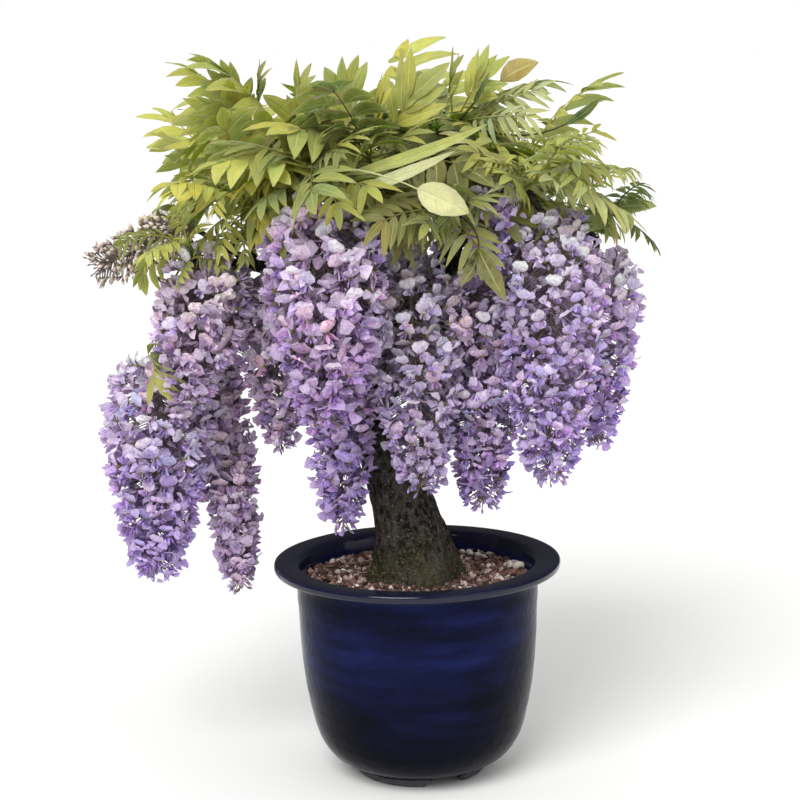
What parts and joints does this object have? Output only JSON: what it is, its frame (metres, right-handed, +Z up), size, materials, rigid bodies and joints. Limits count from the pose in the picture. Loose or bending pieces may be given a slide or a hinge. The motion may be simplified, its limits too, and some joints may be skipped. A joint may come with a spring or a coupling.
{
  "type": "potted wisteria",
  "caption": "Small wisteria tree with a leaning trunk, hanging lilac flower racemes and a crown of pinnate leaves, in a round glazed pot.",
  "frame": {"origin": "bottom centre of the whole plant's bounding box, on the surface the pot stands on", "axes": "+Z up, -Y towards the front, where the trunk leans to -X"},
  "size_m": [0.586, 0.5036, 0.7699],
  "materials": {
    "glazed_pot": "glossy dark cobalt glaze over stoneware, with an unglazed foot",
    "bark_mix": "loose reddish brown bark and clay granules with a few pale pebbles",
    "bark": "rough, deeply fissured grey-brown bark with moss at its base",
    "florets_pale": "soft matt petals, pinkish lilac",
    "florets_violet": "soft matt petals, blue-violet at the tips and lilac above",
    "buds": "downy brownish pink buds",
    "leaves_broad": "soft satin yellow-green leaflets",
    "leaves_small": "soft satin mid green leaflets"
  },
  "bodies": {
    "root": {"pot": "glazed_pot", "soil": "bark_mix", "wisteria_wood": "bark", "raceme_front_left": "florets_pale", "raceme_front_left_low": "florets_violet", "raceme_left_small": "florets_violet", "raceme_centre": "florets_violet", "raceme_centre_right": "florets_violet", "raceme_right_front": "florets_violet", "raceme_right": "florets_violet", "raceme_front_small": "florets_violet", "raceme_left_upper": "florets_violet", "raceme_left_low": "florets_violet", "raceme_left_inner": "florets_violet", "raceme_left_back": "florets_violet", "raceme_back_left": "florets_violet", "raceme_back_middle": "florets_pale", "raceme_back_right": "florets_violet", "raceme_right_back": "florets_violet", "raceme_inner": "florets_violet", "raceme_left_buds": "buds", "shoot_front": "leaves_small", "shoot_left": "leaves_broad", "shoot_left_low": "leaves_small", "shoot_left_back": "leaves_broad", "shoot_top_left": "leaves_broad", "shoot_top_front": "leaves_broad", "shoot_top_right": "leaves_small", "shoot_top_back": "leaves_broad", "shoot_right_upper": "leaves_small", "shoot_right": "leaves_small", "shoot_front_right": "leaves_small", "shoot_front_left": "leaves_broad", "shoot_right_back": "leaves_small", "shoot_back": "leaves_broad", "shoot_back_left": "leaves_broad", "shoot_crown_left": "leaves_broad"}
  },
  "joints": []
}
